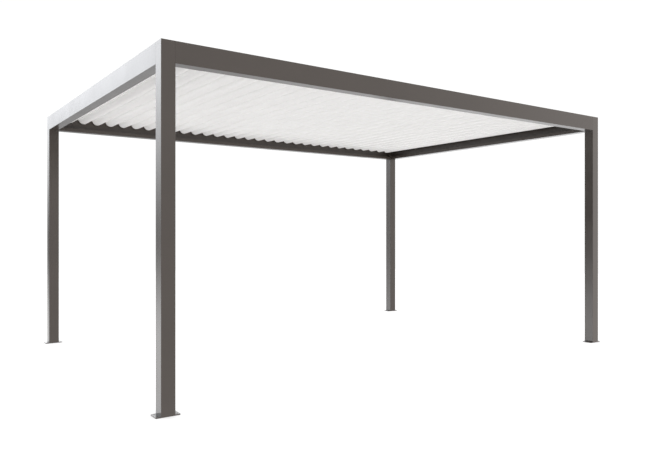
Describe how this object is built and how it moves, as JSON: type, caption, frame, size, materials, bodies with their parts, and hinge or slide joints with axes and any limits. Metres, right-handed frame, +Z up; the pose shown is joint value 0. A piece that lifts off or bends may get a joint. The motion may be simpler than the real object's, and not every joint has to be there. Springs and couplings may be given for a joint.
{
  "type": "louvred metal gazebo",
  "caption": "Free-standing metal gazebo: square posts on bolted feet, slim gutter-beam roof frame and a roof of curved louvres that tilt open together.",
  "frame": {"origin": "on the ground under the middle of the roof", "axes": "+X along the long front, to the right seen from the front; +Y from front to back; +Z up"},
  "size_m": [5.102, 3.5, 2.5],
  "materials": {
    "frame_coat": "dark warm-grey satin powder coat",
    "louvre_coat": "white satin powder coat",
    "bush_plastic": "black nylon"
  },
  "bodies": {
    "frame": {"front_left_foot": "frame_coat", "front_right_foot": "frame_coat", "back_left_foot": "frame_coat", "back_right_foot": "frame_coat", "front_left_post": "frame_coat", "front_right_post": "frame_coat", "back_left_post": "frame_coat", "back_right_post": "frame_coat", "post_caps": "frame_coat", "front_beam": "frame_coat", "back_beam": "frame_coat", "left_beam": "frame_coat", "right_beam": "frame_coat", "left_closing_strip": "frame_coat", "right_closing_strip": "frame_coat", "front_pivot_bushes": "bush_plastic", "back_pivot_bushes": "bush_plastic"},
    "louvre_01": {"louvre_01": "louvre_coat"},
    "louvre_02": {"louvre_02": "louvre_coat"},
    "louvre_03": {"louvre_03": "louvre_coat"},
    "louvre_04": {"louvre_04": "louvre_coat"},
    "louvre_05": {"louvre_05": "louvre_coat"},
    "louvre_06": {"louvre_06": "louvre_coat"},
    "louvre_07": {"louvre_07": "louvre_coat"},
    "louvre_08": {"louvre_08": "louvre_coat"},
    "louvre_09": {"louvre_09": "louvre_coat"},
    "louvre_10": {"louvre_10": "louvre_coat"},
    "louvre_11": {"louvre_11": "louvre_coat"},
    "louvre_12": {"louvre_12": "louvre_coat"},
    "louvre_13": {"louvre_13": "louvre_coat"},
    "louvre_14": {"louvre_14": "louvre_coat"},
    "louvre_15": {"louvre_15": "louvre_coat"},
    "louvre_16": {"louvre_16": "louvre_coat"},
    "louvre_17": {"louvre_17": "louvre_coat"},
    "louvre_18": {"louvre_18": "louvre_coat"},
    "louvre_19": {"louvre_19": "louvre_coat"},
    "louvre_20": {"louvre_20": "louvre_coat"},
    "louvre_21": {"louvre_21": "louvre_coat"},
    "louvre_22": {"louvre_22": "louvre_coat"},
    "louvre_23": {"louvre_23": "louvre_coat"},
    "louvre_24": {"louvre_24": "louvre_coat"},
    "louvre_25": {"louvre_25": "louvre_coat"},
    "louvre_26": {"louvre_26": "louvre_coat"},
    "louvre_27": {"louvre_27": "louvre_coat"},
    "louvre_28": {"louvre_28": "louvre_coat"},
    "louvre_29": {"louvre_29": "louvre_coat"},
    "louvre_30": {"louvre_30": "louvre_coat"},
    "louvre_31": {"louvre_31": "louvre_coat"},
    "louvre_32": {"louvre_32": "louvre_coat"}
  },
  "joints": [
    {"name": "louvre_01_tilt", "type": "hinge", "parent": "frame", "child": "louvre_01", "pos_m": [-2.30636, 0, 2.475], "axis": [0, 1, 0], "range_deg": [0, 90]},
    {"name": "louvre_02_tilt", "type": "hinge", "parent": "frame", "child": "louvre_02", "pos_m": [-2.15636, 0, 2.475], "axis": [0, 1, 0], "range_deg": [0, 90]},
    {"name": "louvre_03_tilt", "type": "hinge", "parent": "frame", "child": "louvre_03", "pos_m": [-2.00636, 0, 2.475], "axis": [0, 1, 0], "range_deg": [0, 90]},
    {"name": "louvre_04_tilt", "type": "hinge", "parent": "frame", "child": "louvre_04", "pos_m": [-1.85636, 0, 2.475], "axis": [0, 1, 0], "range_deg": [0, 90]},
    {"name": "louvre_05_tilt", "type": "hinge", "parent": "frame", "child": "louvre_05", "pos_m": [-1.70636, 0, 2.475], "axis": [0, 1, 0], "range_deg": [0, 90]},
    {"name": "louvre_06_tilt", "type": "hinge", "parent": "frame", "child": "louvre_06", "pos_m": [-1.55636, 0, 2.475], "axis": [0, 1, 0], "range_deg": [0, 90]},
    {"name": "louvre_07_tilt", "type": "hinge", "parent": "frame", "child": "louvre_07", "pos_m": [-1.40636, 0, 2.475], "axis": [0, 1, 0], "range_deg": [0, 90]},
    {"name": "louvre_08_tilt", "type": "hinge", "parent": "frame", "child": "louvre_08", "pos_m": [-1.25636, 0, 2.475], "axis": [0, 1, 0], "range_deg": [0, 90]},
    {"name": "louvre_09_tilt", "type": "hinge", "parent": "frame", "child": "louvre_09", "pos_m": [-1.10636, 0, 2.475], "axis": [0, 1, 0], "range_deg": [0, 90]},
    {"name": "louvre_10_tilt", "type": "hinge", "parent": "frame", "child": "louvre_10", "pos_m": [-0.95636, 0, 2.475], "axis": [0, 1, 0], "range_deg": [0, 90]},
    {"name": "louvre_11_tilt", "type": "hinge", "parent": "frame", "child": "louvre_11", "pos_m": [-0.80636, 0, 2.475], "axis": [0, 1, 0], "range_deg": [0, 90]},
    {"name": "louvre_12_tilt", "type": "hinge", "parent": "frame", "child": "louvre_12", "pos_m": [-0.65636, 0, 2.475], "axis": [0, 1, 0], "range_deg": [0, 90]},
    {"name": "louvre_13_tilt", "type": "hinge", "parent": "frame", "child": "louvre_13", "pos_m": [-0.50636, 0, 2.475], "axis": [0, 1, 0], "range_deg": [0, 90]},
    {"name": "louvre_14_tilt", "type": "hinge", "parent": "frame", "child": "louvre_14", "pos_m": [-0.35636, 0, 2.475], "axis": [0, 1, 0], "range_deg": [0, 90]},
    {"name": "louvre_15_tilt", "type": "hinge", "parent": "frame", "child": "louvre_15", "pos_m": [-0.20636, 0, 2.475], "axis": [0, 1, 0], "range_deg": [0, 90]},
    {"name": "louvre_16_tilt", "type": "hinge", "parent": "frame", "child": "louvre_16", "pos_m": [-0.05636, 0, 2.475], "axis": [0, 1, 0], "range_deg": [0, 90]},
    {"name": "louvre_17_tilt", "type": "hinge", "parent": "frame", "child": "louvre_17", "pos_m": [0.09364, 0, 2.475], "axis": [0, 1, 0], "range_deg": [0, 90]},
    {"name": "louvre_18_tilt", "type": "hinge", "parent": "frame", "child": "louvre_18", "pos_m": [0.24364, 0, 2.475], "axis": [0, 1, 0], "range_deg": [0, 90]},
    {"name": "louvre_19_tilt", "type": "hinge", "parent": "frame", "child": "louvre_19", "pos_m": [0.39364, 0, 2.475], "axis": [0, 1, 0], "range_deg": [0, 90]},
    {"name": "louvre_20_tilt", "type": "hinge", "parent": "frame", "child": "louvre_20", "pos_m": [0.54364, 0, 2.475], "axis": [0, 1, 0], "range_deg": [0, 90]},
    {"name": "louvre_21_tilt", "type": "hinge", "parent": "frame", "child": "louvre_21", "pos_m": [0.69364, 0, 2.475], "axis": [0, 1, 0], "range_deg": [0, 90]},
    {"name": "louvre_22_tilt", "type": "hinge", "parent": "frame", "child": "louvre_22", "pos_m": [0.84364, 0, 2.475], "axis": [0, 1, 0], "range_deg": [0, 90]},
    {"name": "louvre_23_tilt", "type": "hinge", "parent": "frame", "child": "louvre_23", "pos_m": [0.99364, 0, 2.475], "axis": [0, 1, 0], "range_deg": [0, 90]},
    {"name": "louvre_24_tilt", "type": "hinge", "parent": "frame", "child": "louvre_24", "pos_m": [1.14364, 0, 2.475], "axis": [0, 1, 0], "range_deg": [0, 90]},
    {"name": "louvre_25_tilt", "type": "hinge", "parent": "frame", "child": "louvre_25", "pos_m": [1.29364, 0, 2.475], "axis": [0, 1, 0], "range_deg": [0, 90]},
    {"name": "louvre_26_tilt", "type": "hinge", "parent": "frame", "child": "louvre_26", "pos_m": [1.44364, 0, 2.475], "axis": [0, 1, 0], "range_deg": [0, 90]},
    {"name": "louvre_27_tilt", "type": "hinge", "parent": "frame", "child": "louvre_27", "pos_m": [1.59364, 0, 2.475], "axis": [0, 1, 0], "range_deg": [0, 90]},
    {"name": "louvre_28_tilt", "type": "hinge", "parent": "frame", "child": "louvre_28", "pos_m": [1.74364, 0, 2.475], "axis": [0, 1, 0], "range_deg": [0, 90]},
    {"name": "louvre_29_tilt", "type": "hinge", "parent": "frame", "child": "louvre_29", "pos_m": [1.89364, 0, 2.475], "axis": [0, 1, 0], "range_deg": [0, 90]},
    {"name": "louvre_30_tilt", "type": "hinge", "parent": "frame", "child": "louvre_30", "pos_m": [2.04364, 0, 2.475], "axis": [0, 1, 0], "range_deg": [0, 90]},
    {"name": "louvre_31_tilt", "type": "hinge", "parent": "frame", "child": "louvre_31", "pos_m": [2.19364, 0, 2.475], "axis": [0, 1, 0], "range_deg": [0, 90]},
    {"name": "louvre_32_tilt", "type": "hinge", "parent": "frame", "child": "louvre_32", "pos_m": [2.34364, 0, 2.475], "axis": [0, 1, 0], "range_deg": [0, 90]}
  ],
  "couplings": [
    {"joint": "louvre_02_tilt", "follows": "louvre_01_tilt", "ratio": 1},
    {"joint": "louvre_03_tilt", "follows": "louvre_01_tilt", "ratio": 1},
    {"joint": "louvre_04_tilt", "follows": "louvre_01_tilt", "ratio": 1},
    {"joint": "louvre_05_tilt", "follows": "louvre_01_tilt", "ratio": 1},
    {"joint": "louvre_06_tilt", "follows": "louvre_01_tilt", "ratio": 1},
    {"joint": "louvre_07_tilt", "follows": "louvre_01_tilt", "ratio": 1},
    {"joint": "louvre_08_tilt", "follows": "louvre_01_tilt", "ratio": 1},
    {"joint": "louvre_09_tilt", "follows": "louvre_01_tilt", "ratio": 1},
    {"joint": "louvre_10_tilt", "follows": "louvre_01_tilt", "ratio": 1},
    {"joint": "louvre_11_tilt", "follows": "louvre_01_tilt", "ratio": 1},
    {"joint": "louvre_12_tilt", "follows": "louvre_01_tilt", "ratio": 1},
    {"joint": "louvre_13_tilt", "follows": "louvre_01_tilt", "ratio": 1},
    {"joint": "louvre_14_tilt", "follows": "louvre_01_tilt", "ratio": 1},
    {"joint": "louvre_15_tilt", "follows": "louvre_01_tilt", "ratio": 1},
    {"joint": "louvre_16_tilt", "follows": "louvre_01_tilt", "ratio": 1},
    {"joint": "louvre_17_tilt", "follows": "louvre_01_tilt", "ratio": 1},
    {"joint": "louvre_18_tilt", "follows": "louvre_01_tilt", "ratio": 1},
    {"joint": "louvre_19_tilt", "follows": "louvre_01_tilt", "ratio": 1},
    {"joint": "louvre_20_tilt", "follows": "louvre_01_tilt", "ratio": 1},
    {"joint": "louvre_21_tilt", "follows": "louvre_01_tilt", "ratio": 1},
    {"joint": "louvre_22_tilt", "follows": "louvre_01_tilt", "ratio": 1},
    {"joint": "louvre_23_tilt", "follows": "louvre_01_tilt", "ratio": 1},
    {"joint": "louvre_24_tilt", "follows": "louvre_01_tilt", "ratio": 1},
    {"joint": "louvre_25_tilt", "follows": "louvre_01_tilt", "ratio": 1},
    {"joint": "louvre_26_tilt", "follows": "louvre_01_tilt", "ratio": 1},
    {"joint": "louvre_27_tilt", "follows": "louvre_01_tilt", "ratio": 1},
    {"joint": "louvre_28_tilt", "follows": "louvre_01_tilt", "ratio": 1},
    {"joint": "louvre_29_tilt", "follows": "louvre_01_tilt", "ratio": 1},
    {"joint": "louvre_30_tilt", "follows": "louvre_01_tilt", "ratio": 1},
    {"joint": "louvre_31_tilt", "follows": "louvre_01_tilt", "ratio": 1},
    {"joint": "louvre_32_tilt", "follows": "louvre_01_tilt", "ratio": 1}
  ]
}
